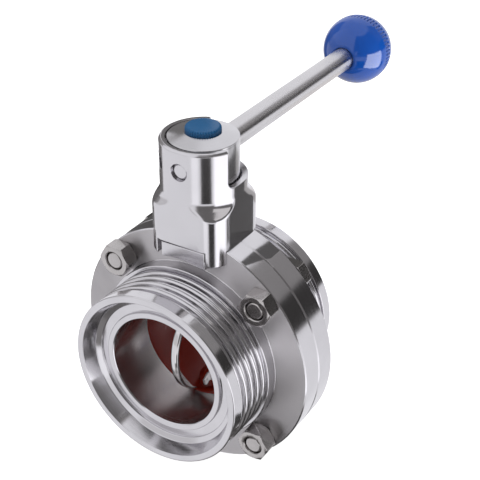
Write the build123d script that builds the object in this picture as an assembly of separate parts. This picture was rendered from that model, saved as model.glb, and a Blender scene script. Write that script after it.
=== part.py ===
from build123d import *
import math
import os

os.makedirs("parts", exist_ok=True)

# Frame: the pipe runs along Y with the front port at -Y, the stem stands on +Z,
# and the origin is where the two axes cross. Every length is in millimetres.

# Pipe line and body halves
bore_radius = 25.0
end_distance = 39.0
flange_thickness = 10.5
edge_break = 0.5
collar_step = 1.5
collar_length = 5.5
collar_round = 0.4

# Round thread on both ends, six turns to the inch
thread_radius = 39.0
thread_pitch = 25.4 / 6
thread_depth = thread_pitch / 2
thread_round = 0.238 * thread_pitch
flank_angle = 15.0
root_flat = 0.3
rim_length = 5.6
thread_run_in = 3.6

# Coned seat for the pipe liner and its gasket, depths from the end face
rim_wall = 3.0
cone_inset = 2.2
cone_depth = 5.9
gasket_inset = 4.4
gasket_edge_depth = 7.1
gasket_depth = 7.8
lip_wall = 2.8
lip_depth = 6.5
lip_round = 0.9

# Silicone seat clamped between the halves
seat_wall = 5.0
seat_width = 17.0
seat_bevel = 0.6

# Disc and stem
disc_gap = 0.3
disc_rim = 3.8
disc_crown = 7.0
disc_boss_radius = 7.2
upper_boss_length = 12.0
lower_boss_length = 4.8
boss_taper = 5.5
stem_radius = 6.0
trunnion_radius = 5.0
trunnion_cover = 13.2
tongue_width = 8.0
tongue_length = 10.5
drive_width = 9.0
drive_length = 5.6
bush_wall = 1.9
lower_bush_land = 2.15
ring_section = 1.3
ring_rise = 4.6
ring_land = 1.5

# Clearances
running_gap = 0.05
loose_gap = 0.1
seating_gap = 0.05

# Flange bolts, M8, on the 45 degree lines
bolt_radius = 4.0
bolt_count = 4
bolt_hole_gap = 0.5
hex_flats = 13.0
nut_clear = 1.3
nut_land = 0.1
nut_height = 7.0
head_height = 5.3
bolt_end_recess = 0.4
bolt_point = 0.7

# Handle bracket, a casting with a round shell above a square block
shell_radius = 17.5
shell_wall = 2.6
shell_rise = 9.0
shell_break = 0.9
shoulder_rise = 6.7
block_overhang = 0.1
block_corner = 9.5
finger_reach = 8.9
floor_rise = 10.1
notch_drop = 2.15
notch_half_width = 11.3
boss_side_gap = 0.6
boss_top_gap = 0.45
boss_face_step = 0.3
boss_foot_rise = 5.9

# Window that the handle swings in, angles from +X towards +Y
window_start = -23.5
window_end = 113.5
window_drop = 7.3

# Lock holes, and the groove inside the shell that the drawn pin swings in
lock_angles = (180.0, 225.0, 270.0)
lock_web = 1.0
lock_groove_height = 8.4
pin_radius = 3.5
pin_chamfer = 0.8
pin_hole_gap = 0.1
pin_swing_gap = 0.45

# Handle hub
hub_gap = 0.6
hub_journal_height = 10.0
thrust_washer_thickness = 1.0
socket_spare = 0.6
web_thickness = 1.8
access_radius = 5.8
cap_height = 2.6
cap_edge_height = 1.7
cap_spigot_radius = 9.0
cap_spigot_height = 0.6
button_radius = 7.2
button_height = 1.0
button_stub_radius = 5.0
button_stub_height = 3.0
button_rib_count = 40
button_rib_depth = 0.3
screw_radius = 3.0
screw_length = 13.0
screw_head_radius = 5.2
screw_head_height = 3.0
key_share = 0.7
washer_thickness = 1.0

# Pull rod, its spring and the ball
rod_radius = 5.15
screw_head_cover = 0.3
rod_inner_end = -6.9
chamber_radius = 7.0
chamber_end = -9.3
pin_stub_radius = 2.5
pin_stub_length = 5.0
snap_ring_start = -6.4
snap_ring_width = 1.5
snap_ring_radius = 6.7
snap_groove_depth = 0.55
guide_inset = 1.9
guide_length = 3.5
spring_wire = 1.1
spring_turns = 5.0
ball_radius = 16.0
ball_center = 130.6
ball_flat = 14.7
ball_counterbore = 2.4
ball_rib_count = 58
ball_rib_start = 1.0
ball_rib_length = 3.6
ball_rib_depth = 0.35
ball_thread_radius = 4.0
ball_thread_length = 13.0
insert_radius = 6.0
insert_spare = 2.0

# Sizes that follow from the ones above, along the pipe
collar_radius = thread_radius + collar_step
thread_root = thread_radius - thread_depth + running_gap / 2
mouth_radius = thread_radius - rim_wall
cone_radius = mouth_radius - cone_inset
gasket_radius = mouth_radius - gasket_inset
lip_radius = bore_radius + lip_wall
bolt_circle = collar_radius + nut_clear + hex_flats / 2
flange_radius = bolt_circle + hex_flats / 2 + nut_land
bolt_hole_radius = bolt_radius + bolt_hole_gap
seat_outer = bore_radius + seat_wall
pocket_radius = seat_outer + seating_gap
pocket_depth = seat_width / 2 + seating_gap

# Radii and heights along the stem, from the disc up to the floor of the shell
disc_radius = bore_radius - disc_gap
disc_foot = -disc_radius
stem_shoulder = disc_radius + disc_gap / 2
upper_bush_radius = stem_radius + running_gap + bush_wall
stem_hole_radius = upper_bush_radius + seating_gap
lower_bush_radius = trunnion_radius + running_gap + bush_wall
trunnion_hole_radius = lower_bush_radius + seating_gap
trunnion_end = trunnion_cover - flange_radius
lower_bush_bottom = trunnion_end - edge_break
lower_bush_top = -(pocket_radius + lower_bush_land)
trunnion_hole_end = lower_bush_bottom - edge_break
ring_height = seat_outer + ring_rise
bush_bottom = ring_height + ring_section + ring_land
bush_top = flange_radius - 2 * edge_break
finger_bottom = flange_radius - finger_reach
notch_height = flange_radius - notch_drop
boss_foot_radius = collar_radius + boss_foot_rise
boss_half_width = notch_half_width - boss_side_gap
boss_top = notch_height - boss_top_gap
block_half = shell_radius + block_overhang
boss_face = block_half - boss_face_step
floor_height = flange_radius + floor_rise
shoulder_height = floor_height + shoulder_rise

# The hub's stack above that floor, and the rod that crosses it over the screw's head
hub_bottom = floor_height + thrust_washer_thickness
stem_top = hub_bottom + drive_length
web_bottom = stem_top + socket_spare
web_top = web_bottom + web_thickness
screw_seat = web_top + washer_thickness
rod_height = screw_seat + screw_head_height + screw_head_cover + chamber_radius
groove_low = rod_height - lock_groove_height / 2
window_bottom = rod_height - window_drop
window_corner = groove_low - loose_gap - window_bottom
shell_top = rod_height + shell_rise
cap_top = shell_top + cap_edge_height
cap_bottom = cap_top - cap_height

# Radii round the stem, and places along the rod
shell_bore = shell_radius - shell_wall
groove_radius = shell_radius - lock_web
hub_radius = shell_bore - hub_gap
journal_radius = shell_bore - running_gap
guide_radius = chamber_radius - running_gap
guide_end = hub_radius - guide_inset
guide_start = guide_end - guide_length
pin_nose = -(groove_radius - pin_swing_gap)
snap_ring_end = snap_ring_start + snap_ring_width
spring_radius = (rod_radius + chamber_radius) / 2
ball_face = ball_center - ball_flat
rod_shoulder = ball_face + ball_counterbore - running_gap


def column(radius, bottom, top):
    # a round bar along Z
    bar = Cylinder(radius, top - bottom, align=(Align.CENTER, Align.CENTER, Align.MIN))
    return Pos(0, 0, bottom) * bar


def beam(radius, start, end, height=0.0):
    # a round bar along Y at the given height
    return Pos(0, start, height) * Rot(-90, 0, 0) * column(radius, 0, end - start)


def slab(x_half, y_low, y_high, z_low, z_high):
    # a box centred on X
    block = Box(2 * x_half, y_high - y_low, z_high - z_low, align=(Align.CENTER, Align.MIN, Align.MIN))
    return Pos(0, y_low, z_low) * block


def square_bar(width, bottom, top):
    return slab(width / 2, -width / 2, width / 2, bottom, top)


def turned(outline):
    # a solid turned about Z from (radius, height) points
    face = make_face(Polyline(*[(radius, 0, height) for radius, height in outline], close=True))
    return revolve(face, Axis.Z)


def place_front(piece):
    # heights above the seam become distances towards the front port
    return Rot(90, 0, 0) * piece


def place_rear(piece):
    return Rot(0, 0, 180) * place_front(piece)


def around(count, start_angle=0.0):
    return [start_angle + 360.0 * i / count for i in range(count)]


def thread_ridge():
    # one rounded ridge wound from inside the collar to inside the plain rim
    root = thread_radius - thread_depth
    start = flange_thickness + collar_length - thread_run_in
    end = end_distance - rim_length + thread_pitch / 2 + edge_break
    crest_center = thread_radius - thread_round - running_gap / 2
    root_center = root + thread_round
    half = thread_pitch / 2
    side = thread_round * math.cos(math.radians(flank_angle))
    rise = thread_round * math.sin(math.radians(flank_angle))
    foot_angle = math.asin(root_flat / 2 / thread_round)
    mid_angle = (foot_angle + math.radians(90 - flank_angle)) / 2
    base = root - thread_depth / 4
    foot = (half - root_flat / 2, root_center - thread_round * math.cos(foot_angle))
    bend = (half - thread_round * math.sin(mid_angle), root_center - thread_round * math.cos(mid_angle))
    flank_low = (half - side, root_center - rise)
    flank_high = (side, crest_center + rise)
    crest = (0, crest_center + thread_round)

    def at(point, sign=1):
        return (point[1], 0, start + sign * point[0])

    section = make_face([
        Line(at((foot[0], base), -1), at((foot[0], base))),
        Line(at((foot[0], base)), at(foot)),
        ThreePointArc(at(foot), at(bend), at(flank_low)),
        Line(at(flank_low), at(flank_high)),
        ThreePointArc(at(flank_high), at(crest), at(flank_high, -1)),
        Line(at(flank_high, -1), at(flank_low, -1)),
        ThreePointArc(at(flank_low, -1), at(bend, -1), at(foot, -1)),
        Line(at(foot, -1), at((foot[0], base), -1)),
    ])
    winding = Helix(pitch=thread_pitch, height=end - start, radius=root, center=(0, 0, start))
    return sweep(section, path=winding, is_frenet=True)


def threaded_core():
    # the wall under the thread, joined to its ridge before the flange and the rim
    wall = column(thread_root, flange_thickness + edge_break, end_distance - edge_break)
    return wall - column(mouth_radius, 0, end_distance) + thread_ridge()


def half_outline():
    face = flange_thickness
    collar_end = face + collar_length
    root = thread_root
    rim_start = end_distance - rim_length
    lip_top = end_distance - lip_depth
    return [
        (pocket_radius, 0), (flange_radius - edge_break, 0), (flange_radius, edge_break),
        (flange_radius, face - edge_break), (flange_radius - edge_break, face),
        (collar_radius + collar_round, face), (collar_radius, face + collar_round),
        (collar_radius, collar_end - collar_round), (collar_radius - collar_round, collar_end),
        (root, collar_end + collar_round), (root, rim_start - edge_break),
        (thread_radius - edge_break, rim_start), (thread_radius, rim_start + edge_break),
        (thread_radius, end_distance - edge_break), (thread_radius - edge_break, end_distance),
        (mouth_radius, end_distance), (cone_radius, end_distance - cone_depth),
        (gasket_radius, end_distance - gasket_edge_depth), (gasket_radius, end_distance - gasket_depth),
        (lip_radius, end_distance - gasket_depth), (lip_radius, lip_top),
        (bore_radius + lip_round, lip_top), (bore_radius, lip_top - lip_round),
        (bore_radius, pocket_depth), (pocket_radius, pocket_depth),
    ]


def body_half():
    # built with the seam at height 0, the port upwards and the stem towards +Y
    boss = slab(boss_half_width, collar_radius, boss_top, flange_thickness - edge_break, boss_face)
    boss -= column(boss_foot_radius, 0, end_distance)
    half = turned(half_outline()) + threaded_core() + boss
    for angle in around(bolt_count, 45):
        half -= Rot(0, 0, angle) * Pos(bolt_circle, 0, 0) * column(bolt_hole_radius, -1, flange_thickness + 1)
    half -= beam(stem_hole_radius, bore_radius, flange_radius + 1)
    half -= beam(trunnion_hole_radius, trunnion_hole_end, -bore_radius)
    return half


def seat_ring():
    half = seat_width / 2
    ring = turned([
        (seat_outer, -half), (seat_outer, half), (bore_radius + seat_bevel, half),
        (bore_radius, half - seat_bevel), (bore_radius, seat_bevel - half), (bore_radius + seat_bevel, -half),
    ])
    ring = place_front(ring)
    ring -= column(stem_radius + loose_gap, 0, seat_outer + 1)
    ring -= column(trunnion_radius + loose_gap, -seat_outer - 1, 0)
    return ring


def disc_boss(length):
    # a round boss at the top of the disc that fades into the faces below it
    foot = disc_radius - length - boss_taper
    return turned([
        (0, foot), (disc_crown / 2, foot), (disc_boss_radius, disc_radius - length),
        (disc_boss_radius, disc_radius), (0, disc_radius),
    ])


def disc():
    rim = disc_rim / 2
    crown = disc_crown / 2
    plate = turned([
        (0, -crown), (disc_radius - edge_break, -rim), (disc_radius, edge_break - rim),
        (disc_radius, rim - edge_break), (disc_radius - edge_break, rim), (0, crown),
    ])
    bosses = disc_boss(upper_boss_length) + Rot(180, 0, 0) * disc_boss(lower_boss_length)
    body = (Rot(0, 90, 0) * plate + bosses) & Sphere(disc_radius)
    body += column(trunnion_radius, trunnion_end, disc_foot + lower_boss_length)
    socket_end = stem_shoulder - tongue_length - loose_gap
    return body - square_bar(tongue_width + 2 * seating_gap, socket_end, bore_radius)


def drive_stem():
    groove_root = stem_radius - ring_section + loose_gap
    stem = column(stem_radius, stem_shoulder, hub_bottom)
    stem += square_bar(tongue_width, stem_shoulder - tongue_length, stem_shoulder)
    stem += square_bar(drive_width, hub_bottom, stem_top) & column(stem_radius, hub_bottom, stem_top)
    groove_half = ring_section + loose_gap
    groove = column(stem_radius + 1, ring_height - groove_half, ring_height + groove_half)
    stem -= groove - column(groove_root, 0, hub_bottom)
    return stem - column(screw_radius + running_gap, screw_seat - screw_length - 1, stem_top)


def stem_ring():
    groove_root = stem_radius - ring_section + loose_gap
    return Pos(0, 0, ring_height) * Torus(groove_root + ring_section + seating_gap, ring_section)


def upper_bush():
    return column(upper_bush_radius, bush_bottom, bush_top) - column(stem_radius + running_gap, 0, bush_top)


def lower_bush():
    inside = column(trunnion_radius + running_gap, lower_bush_bottom - 1, lower_bush_top)
    return column(lower_bush_radius, lower_bush_bottom, lower_bush_top) - inside


def hexagon(height):
    # a hexagon with flats up and down and both ends turned to a cone at the corners
    corner = hex_flats / math.sqrt(3)
    fall = (corner - hex_flats / 2) * math.tan(math.radians(30))
    prism = extrude(RegularPolygon(corner, 6), height)
    cone = turned([
        (0, 0), (hex_flats / 2, 0), (corner, fall),
        (corner, height - fall), (hex_flats / 2, height), (0, height),
    ])
    return prism & cone


def bolt_places():
    return [Rot(0, angle, 0) * Pos(bolt_circle, 0, 0) for angle in around(bolt_count, 45)]


def flange_nuts():
    nut = hexagon(nut_height) - column(bolt_radius + running_gap, -1, nut_height + 1)
    nut = Pos(0, -flange_thickness, 0) * place_front(nut)
    return [place * Rot(0, -angle, 0) * nut for place, angle in zip(bolt_places(), around(bolt_count, 45))]


def flange_bolts():
    tip = flange_thickness + nut_height - bolt_end_recess
    shank = turned([
        (0, -flange_thickness), (bolt_radius, -flange_thickness), (bolt_radius, tip - bolt_point),
        (bolt_radius - bolt_point, tip), (0, tip),
    ])
    bolt = place_front(Pos(0, 0, -flange_thickness - head_height) * hexagon(head_height) + shank)
    return [place * Rot(0, -angle, 0) * bolt for place, angle in zip(bolt_places(), around(bolt_count, 45))]


def sector(start, end, radius, bottom, top):
    # a wedge about Z between two angles
    middle = (start + end) / 2
    ring_points = [(0, 0)]
    for angle in (start, middle, end):
        reach = radius if angle != middle else 2 * radius
        ring_points.append((reach * math.cos(math.radians(angle)), reach * math.sin(math.radians(angle))))
    outline = make_face(Polyline(*ring_points, close=True))
    return Pos(0, 0, bottom) * extrude(outline, top - bottom)


def window_corner_edges(piece):
    found = []
    for edge in piece.edges().filter_by(GeomType.LINE):
        middle = edge.center()
        angle = math.degrees(math.atan2(middle.Y, middle.X))
        at_side = min(abs(angle - window_start), abs(angle - window_end)) < 1
        if at_side and abs(middle.Z - window_bottom) < 0.1 and edge.length < shell_wall * 2:
            found.append(edge)
    return found


def bracket_outside():
    # below the shoulder the round shell spreads at 45 degrees onto the square block
    reach = 2 * block_half
    spread = turned([
        (0, finger_bottom), (reach, finger_bottom), (reach, shoulder_height - (reach - shell_radius)),
        (shell_radius, shoulder_height), (shell_radius, shell_top - shell_break),
        (shell_radius - shell_break, shell_top), (0, shell_top),
    ])
    square = RectangleRounded(2 * block_half, 2 * block_half, block_corner)
    block = Pos(0, 0, finger_bottom) * extrude(square, shell_top - finger_bottom)
    return spread & block


def handle_bracket():
    leg_inside = flange_thickness + seating_gap
    bracket = bracket_outside()
    bracket -= beam(flange_radius + seating_gap, -leg_inside, leg_inside)
    bracket -= slab(notch_half_width, -2 * block_half, 2 * block_half, 0, notch_height)
    bracket -= column(shell_bore, floor_height, shell_top + 1)
    bracket -= column(stem_radius + loose_gap, 0, floor_height + 1)
    bracket -= column(groove_radius, groove_low, groove_low + lock_groove_height)
    bracket -= sector(window_start, window_end, 2 * shell_radius, window_bottom, shell_top + 1)
    bracket = fillet(window_corner_edges(bracket), window_corner)
    for angle in lock_angles:
        hole = beam(pin_radius + pin_hole_gap, hub_radius, 2 * shell_radius)
        bracket -= Pos(0, 0, rod_height) * Rot(0, 0, angle - 90) * hole
    return bracket


def thrust_washer():
    inside = column(stem_radius + loose_gap, floor_height, hub_bottom)
    return column(journal_radius - loose_gap, floor_height, hub_bottom) - inside


def handle_hub():
    journal_top = hub_bottom + hub_journal_height
    hub = turned([
        (0, hub_bottom), (journal_radius - edge_break, hub_bottom), (journal_radius, hub_bottom + edge_break),
        (journal_radius, journal_top), (hub_radius, journal_top + hub_gap), (hub_radius, cap_bottom),
        (0, cap_bottom),
    ])
    hub -= square_bar(drive_width + 2 * seating_gap, 0, web_bottom)
    hub -= column(screw_radius + loose_gap, web_bottom - 1, web_top)
    hub -= column(access_radius, web_top, cap_bottom)
    hub -= column(cap_spigot_radius + running_gap, cap_bottom - cap_spigot_height - running_gap, cap_bottom)
    hub -= beam(pin_radius + running_gap, -shell_radius, 0, rod_height)
    hub -= beam(chamber_radius, chamber_end, shell_radius, rod_height)
    return hub


def hub_cap():
    flat = button_radius + edge_break
    cap = turned([
        (0, cap_bottom - cap_spigot_height), (cap_spigot_radius, cap_bottom - cap_spigot_height),
        (cap_spigot_radius, cap_bottom), (hub_radius, cap_bottom), (hub_radius, shell_top),
        (hub_radius - edge_break, shell_top + edge_break / 2), (flat, cap_top), (0, cap_top),
    ])
    return cap - column(button_stub_radius + running_gap, 0, cap_top + 1)


def cap_button():
    rise = cap_top + button_height
    button = turned([
        (0, cap_top - button_stub_height), (button_stub_radius, cap_top - button_stub_height),
        (button_stub_radius, cap_top), (button_radius, cap_top), (button_radius, rise - button_height / 2),
        (button_radius - button_height / 2, rise), (0, rise),
    ])
    rib = Pos(button_radius + button_rib_depth, 0, 0) * column(2 * button_rib_depth, cap_top, rise + 1)
    return button - [Rot(0, 0, angle) * rib for angle in around(button_rib_count)]


def hub_washer():
    inside = column(screw_radius + loose_gap, web_top, screw_seat)
    return column(screw_head_radius + loose_gap, web_top, screw_seat) - inside


def hub_screw():
    top = screw_seat + screw_head_height
    key_depth = screw_head_height / 2
    screw = column(screw_head_radius, screw_seat, top)
    screw += column(screw_radius, screw_seat - screw_length, screw_seat)
    key = Pos(0, 0, top - key_depth) * extrude(RegularPolygon(screw_radius * key_share, 6), key_depth)
    return screw - key


def lock_pin():
    pin = turned([
        (0, rod_inner_end), (pin_radius, rod_inner_end), (pin_radius, pin_nose + pin_chamfer),
        (pin_radius - pin_chamfer, pin_nose), (0, pin_nose),
    ])
    stub = column(pin_stub_radius, rod_inner_end, rod_inner_end + pin_stub_length)
    return Pos(0, 0, rod_height) * Rot(-90, 0, 0) * (pin + stub)


def handle_rod():
    rod = turned([
        (0, rod_inner_end), (rod_radius, rod_inner_end), (rod_radius, snap_ring_start - running_gap),
        (rod_radius - snap_groove_depth, snap_ring_start - running_gap),
        (rod_radius - snap_groove_depth, snap_ring_end), (rod_radius, snap_ring_end),
        (rod_radius, rod_shoulder), (ball_thread_radius, rod_shoulder),
        (ball_thread_radius, rod_shoulder + ball_thread_length), (0, rod_shoulder + ball_thread_length),
    ])
    rod -= column(pin_stub_radius + seating_gap, rod_inner_end, rod_inner_end + pin_stub_length + loose_gap)
    return Pos(0, 0, rod_height) * Rot(-90, 0, 0) * rod


def snap_ring():
    ring = beam(snap_ring_radius, snap_ring_start, snap_ring_end, rod_height)
    return ring - beam(rod_radius - snap_groove_depth + seating_gap, -shell_radius, shell_radius, rod_height)


def guide_bush():
    bush = beam(guide_radius, guide_start, guide_end, rod_height)
    return bush - beam(rod_radius + running_gap, -shell_radius, shell_radius, rod_height)


def lock_spring():
    # end to end the wire lies between the snap ring and the guide bush
    start = snap_ring_end + spring_wire / 2 + loose_gap
    length = guide_start - spring_wire / 2 - loose_gap - start
    coil = Helix(pitch=length / spring_turns, height=length, radius=spring_radius)
    section = Plane(origin=coil @ 0, z_dir=coil % 0) * Circle(spring_wire / 2)
    wire = sweep(section, path=coil, is_frenet=True)
    return Pos(0, start, rod_height) * Rot(-90, 0, 0) * wire


def ball_knob():
    hole_end = rod_shoulder + ball_thread_length + insert_spare
    ball = Pos(0, ball_center, rod_height) * Sphere(ball_radius)
    ball -= beam(2 * ball_radius, ball_center - 2 * ball_radius, ball_face, rod_height)
    ball -= beam(rod_radius + loose_gap, ball_face, rod_shoulder, rod_height)
    ball -= beam(insert_radius + seating_gap, rod_shoulder, hole_end, rod_height)
    rib_start = ball_center + ball_rib_start
    groove = beam(2 * ball_rib_depth, rib_start, rib_start + ball_rib_length, ball_radius + ball_rib_depth)
    grooves = [Pos(0, 0, rod_height) * Rot(0, angle, 0) * groove for angle in around(ball_rib_count)]
    return ball - grooves


def knob_insert():
    start = rod_shoulder + running_gap
    end = rod_shoulder + ball_thread_length + insert_spare - running_gap
    inside = beam(ball_thread_radius + running_gap, start - 1, end, rod_height)
    return beam(insert_radius, start, end, rod_height) - inside


def group(solids):
    return Compound(children=solids)


half = body_half()
nodes = {
    "front_body_half": place_front(half),
    "rear_body_half": place_rear(half),
    "seat_ring": seat_ring(),
    "disc": disc(),
    "drive_stem": drive_stem(),
    "stem_o_ring": stem_ring(),
    "upper_stem_bush": upper_bush(),
    "lower_stem_bush": lower_bush(),
    "flange_bolts": group(flange_bolts()),
    "flange_nuts": group(flange_nuts()),
    "handle_bracket": handle_bracket(),
    "thrust_washer": thrust_washer(),
    "handle_hub": handle_hub(),
    "hub_cap": hub_cap(),
    "cap_button": cap_button(),
    "hub_washer": hub_washer(),
    "hub_screw": hub_screw(),
    "guide_bush": guide_bush(),
    "handle_rod": handle_rod(),
    "lock_pin": lock_pin(),
    "snap_ring": snap_ring(),
    "lock_spring": lock_spring(),
    "ball_knob": ball_knob(),
    "knob_insert": knob_insert(),
}
for name, piece in nodes.items():
    export_step(piece, f"parts/{name}.step")
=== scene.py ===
import math

import bmesh
import bpy
import numpy as np
from mathutils import Matrix, Vector


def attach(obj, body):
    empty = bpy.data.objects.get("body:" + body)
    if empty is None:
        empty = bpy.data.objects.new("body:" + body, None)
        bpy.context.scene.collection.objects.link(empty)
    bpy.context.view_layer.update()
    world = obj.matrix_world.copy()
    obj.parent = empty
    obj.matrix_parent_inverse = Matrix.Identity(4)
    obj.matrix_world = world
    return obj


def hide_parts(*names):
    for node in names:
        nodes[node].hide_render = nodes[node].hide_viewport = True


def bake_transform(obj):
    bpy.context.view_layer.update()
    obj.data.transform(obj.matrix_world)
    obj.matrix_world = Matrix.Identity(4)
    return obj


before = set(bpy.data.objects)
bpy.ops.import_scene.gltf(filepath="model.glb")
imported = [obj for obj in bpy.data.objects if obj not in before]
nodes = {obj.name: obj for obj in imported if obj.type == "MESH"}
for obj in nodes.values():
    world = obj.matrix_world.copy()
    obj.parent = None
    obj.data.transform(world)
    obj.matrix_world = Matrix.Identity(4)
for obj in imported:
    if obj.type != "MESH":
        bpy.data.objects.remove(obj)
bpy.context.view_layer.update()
mm = 0.001
axisRadius = 0.001  # in mm, stands for a point on the axis of a turned shape
axisGap = 2e-6  # in metres, the welding distance that closes such a point


# small tools for meshes

def finishPiece(piece, body, node, material, weighted=True):
    piece.data.materials.clear()
    piece.data.materials.append(material)
    for face in piece.data.polygons:
        face.use_smooth = True
    if weighted:
        soften = piece.modifiers.new("weightedNormals", "WEIGHTED_NORMAL")
        soften.weight = 100
        soften.keep_sharp = True
    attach(piece, body)
    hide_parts(node)


def newPiece(name, vertices, faces):
    mesh = bpy.data.meshes.new(name)
    mesh.from_pydata([tuple(v) for v in vertices], [], [tuple(f) for f in faces])
    mesh.update()
    piece = bpy.data.objects.new(name, mesh)
    bpy.context.scene.collection.objects.link(piece)
    return piece


def weld(piece, distance=1e-7):
    work = bmesh.new()
    work.from_mesh(piece.data)
    bmesh.ops.remove_doubles(work, verts=work.verts, dist=distance)
    bmesh.ops.dissolve_degenerate(work, edges=work.edges, dist=distance)
    bmesh.ops.recalc_face_normals(work, faces=work.faces)
    work.to_mesh(piece.data)
    work.free()
    return piece


def roundedOutline(points, steps=4):
    # points are (radius, height, fillet); every corner becomes a small arc
    nearlyStraight, mostOfEdge = 0.02, 0.48
    result = []
    count = len(points)
    for i, (r, h, fillet) in enumerate(points):
        here = np.array((r, h), float)
        before = np.array(points[i - 1][:2], float) - here
        after = np.array(points[(i + 1) % count][:2], float) - here
        toBefore, toAfter = np.linalg.norm(before), np.linalg.norm(after)
        before, after = before / toBefore, after / toAfter
        turn = math.acos(max(-1, min(1, float(before @ after))))
        if fillet <= 0 or turn > math.pi - nearlyStraight:
            result.append((r, h))
            continue
        reach = min(fillet / math.tan(turn / 2), mostOfEdge * toBefore, mostOfEdge * toAfter)
        size = reach * math.tan(turn / 2)
        bisector = (before + after) / np.linalg.norm(before + after)
        center = here + bisector * size / math.sin(turn / 2)
        start, end = here + before * reach - center, here + after * reach - center
        angle = math.acos(max(-1, min(1, float(start @ end) / size ** 2)))
        for k in range(steps + 1):
            t = k / steps
            arc = (start * math.sin((1 - t) * angle) + end * math.sin(t * angle)) / math.sin(angle)
            result.append(tuple(center + arc))
    return result


def ringGrid(radii, heights, angles, axis="Z", offset=(0, 0, 0), closed=True):
    # one vertex for each outline point and angle; radii and heights may vary with the angle
    angles = np.asarray(angles)
    shape = (len(radii), len(angles))
    radii = np.broadcast_to(np.asarray(radii, float).reshape(len(radii), -1), shape)
    heights = np.broadcast_to(np.asarray(heights, float).reshape(len(heights), -1), shape)
    across, along = radii * np.cos(angles), radii * np.sin(angles)
    if axis == "Z":
        points = np.stack([across, along, heights], -1)
    else:
        points = np.stack([across, heights, along], -1)
    vertices = (points.reshape(-1, 3) + np.array(offset)) * mm
    rows, columns = radii.shape
    faces = []
    for i in range(rows if closed else rows - 1):
        first, second = i * columns, ((i + 1) % rows) * columns
        for j in range(columns):
            k = (j + 1) % columns
            faces.append((first + j, first + k, second + k, second + j))
    return vertices, faces


def turnedPiece(name, points, axis, steps):
    outline = np.array(roundedOutline(points))
    angles = np.linspace(0, 2 * np.pi, steps, endpoint=False)
    vertices, faces = ringGrid(outline[:, 0], outline[:, 1], angles, axis)
    return weld(newPiece(name, vertices, faces))


def joinPieces(pieces, name):
    work = bmesh.new()
    for piece in pieces:
        work.from_mesh(piece.data)
        bpy.data.objects.remove(piece)
    mesh = bpy.data.meshes.new(name)
    work.to_mesh(mesh)
    work.free()
    joined = bpy.data.objects.new(name, mesh)
    bpy.context.scene.collection.objects.link(joined)
    return joined


# Shapes with soft cast corners are given as a distance to their surface, in mm,
# negative inside. Rounded joins between distances give every edge its own fillet.

def both(a, b, fillet):
    u, v = np.maximum(fillet + a, 0), np.maximum(fillet + b, 0)
    return np.minimum(-fillet, np.maximum(a, b)) + np.sqrt(u * u + v * v)


def either(a, b, fillet):
    return -both(-a, -b, fillet)


def without(a, b, fillet):
    return both(a, -b, fillet)


def castPiece(name, distance, low, high, step):
    # a net of quads where the distance changes sign, then pulled onto the surface
    passes, nudge, leastSlope = 3, 0.02, 0.25
    axes = [np.arange(low[i], high[i] + step, step) for i in range(3)]
    x, y, z = np.meshgrid(*axes, indexing="ij")
    field = distance(x, y, z)
    inside = field < 0
    shape = np.array(field.shape)
    cells = shape - 1
    total, hits = np.zeros((int(np.prod(cells)), 3)), np.zeros(int(np.prod(cells)))
    quads = []
    for axis in range(3):
        lower = [slice(None)] * 3
        upper = [slice(None)] * 3
        lower[axis], upper[axis] = slice(0, -1), slice(1, None)
        crossing = inside[tuple(lower)] != inside[tuple(upper)]
        index = np.argwhere(crossing)
        others = [i for i in range(3) if i != axis]
        keep = np.ones(len(index), bool)
        for other in others:
            keep &= (index[:, other] > 0) & (index[:, other] < shape[other] - 1)
        index = index[keep]
        start, end = index.copy(), index.copy()
        end[:, axis] += 1
        a, b = field[tuple(start.T)], field[tuple(end.T)]
        place = index.astype(float)
        place[:, axis] += a / (a - b)
        corners = []
        for shiftA, shiftB in ((1, 1), (0, 1), (0, 0), (1, 0)):
            cell = index.copy()
            cell[:, others[0]] -= shiftA
            cell[:, others[1]] -= shiftB
            flat = np.ravel_multi_index(tuple(cell.T), tuple(cells))
            corners.append(flat)
            hits += np.bincount(flat, minlength=len(hits))
            for i in range(3):
                total[:, i] += np.bincount(flat, weights=place[:, i], minlength=len(hits))
        faces = np.stack(corners, 1)
        flip = (a < 0) == (axis != 1)
        faces[~flip] = faces[~flip][:, ::-1]
        quads.append(faces)
    quads = np.concatenate(quads)
    used, quads = np.unique(quads, return_inverse=True)
    quads = quads.reshape(-1, 4)
    points = total[used] / hits[used][:, None] * step + np.array(low)
    for turn in range(passes):
        value = distance(*points.T)
        slope = np.stack([
            distance(*(points + aside).T) - distance(*(points - aside).T)
            for aside in nudge * np.eye(3)], -1) / (2 * nudge)
        size = np.maximum((slope ** 2).sum(1), leastSlope)
        points = points - np.clip(value / size, -step / 2, step / 2)[:, None] * slope
    piece = newPiece(name, points * mm, quads)
    normals = slope / np.maximum(np.linalg.norm(slope, axis=1), 1e-6)[:, None]
    for face in piece.data.polygons:
        face.use_smooth = True
    piece.data.normals_split_custom_set_from_vertices([tuple(n) for n in normals])
    return piece


# camera, fitted to the ellipses of the photograph

cameraValues = {
    "azimuth": 32.141, "elevation": 31.294, "roll": 0.128,
    "distance": 487.6, "aimRight": 14.03, "aimUp": 40.63,
    "focalPixels": 1137.5, "imagePixels": 480, "centerX": 239.44, "centerY": 238.4,
    "sensor": 36.0, "nearest": 0.01, "farthest": 60,
}


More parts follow.
